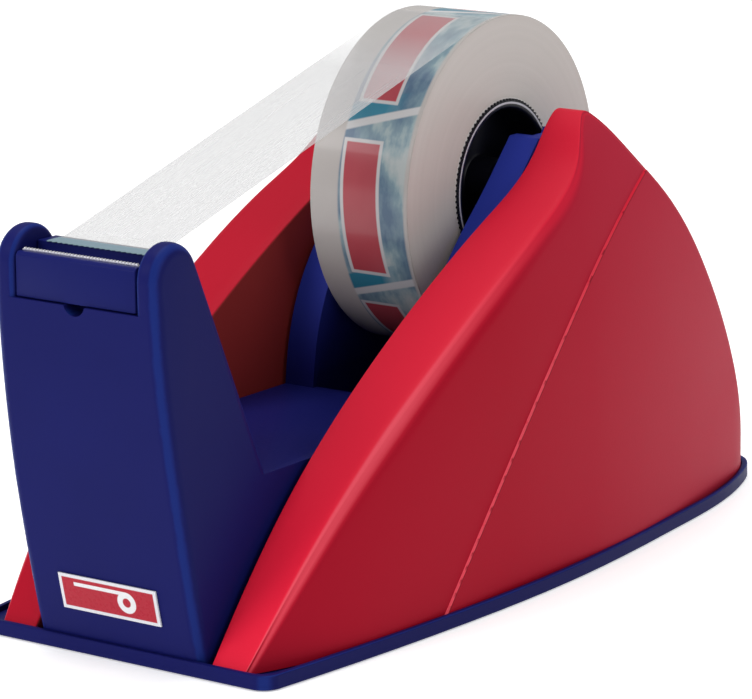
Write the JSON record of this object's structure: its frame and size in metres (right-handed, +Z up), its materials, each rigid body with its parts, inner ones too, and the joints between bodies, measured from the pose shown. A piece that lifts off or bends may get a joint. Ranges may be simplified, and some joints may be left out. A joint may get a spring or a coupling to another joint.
{
  "type": "tape dispenser",
  "caption": "Weighted desktop tape dispenser with blue tower and base, red side fins, serrated cutter between two ears and a clear tape roll on a hub.",
  "frame": {"origin": "centre of the bounding box, on the surface the dispenser stands on", "axes": "+X across the dispenser, towards the right-hand fin when it is seen from the cutter end; +Y from the cutter towards the rear; +Z up"},
  "size_m": [0.0674, 0.1612, 0.0878],
  "materials": {
    "blue_plastic": "satin moulded",
    "head_plastic": "satin moulded",
    "red_plastic": "fine-grained satin",
    "pad_foam": "matt",
    "blade_steel": "bright",
    "pin_steel": "turned",
    "iron": "rough",
    "hub_plastic": "satin moulded",
    "core_plastic": "matt",
    "liner_plastic": "smooth",
    "film_roll": "hazy film edges",
    "print_film": "printed film",
    "clear_film": "clear film",
    "label": "printed label"
  },
  "bodies": {
    "base": {"base_tray": "blue_plastic", "anti_slip_pad": "pad_foam", "right_fin": "red_plastic", "left_fin": "red_plastic", "centre_body": "blue_plastic", "left_axle_rest": "liner_plastic", "right_axle_rest": "liner_plastic", "front_weight": "iron", "rear_weight": "iron", "right_fin_weight": "iron", "left_fin_weight": "iron", "front_badge": "label", "body_screws": "pin_steel", "fin_screws": "pin_steel"},
    "cutter": {"cutter_head": "head_plastic", "cutter_blade": "blade_steel"},
    "axle_set": {"axle": "pin_steel", "left_spacer": "liner_plastic", "right_spacer": "liner_plastic", "tape_web": "clear_film"},
    "roll": {"right_hub_half": "hub_plastic", "left_hub_half": "hub_plastic", "tape_core": "core_plastic", "tape_winding": "film_roll", "printed_wrap": "print_film"}
  },
  "joints": [
    {"name": "cutter_slide", "type": "slide", "parent": "base", "child": "cutter", "axis": [0, -1, 0], "range_m": [0, 0.012]},
    {"name": "roll_lift", "type": "slide", "parent": "base", "child": "axle_set", "axis": [0, 0.6428, 0.766], "range_m": [0, 0.016]},
    {"name": "roll_spin", "type": "hinge", "parent": "axle_set", "child": "roll", "pos_m": [0, 0.0186, 0.06], "axis": [1, 0, 0], "continuous": true}
  ]
}
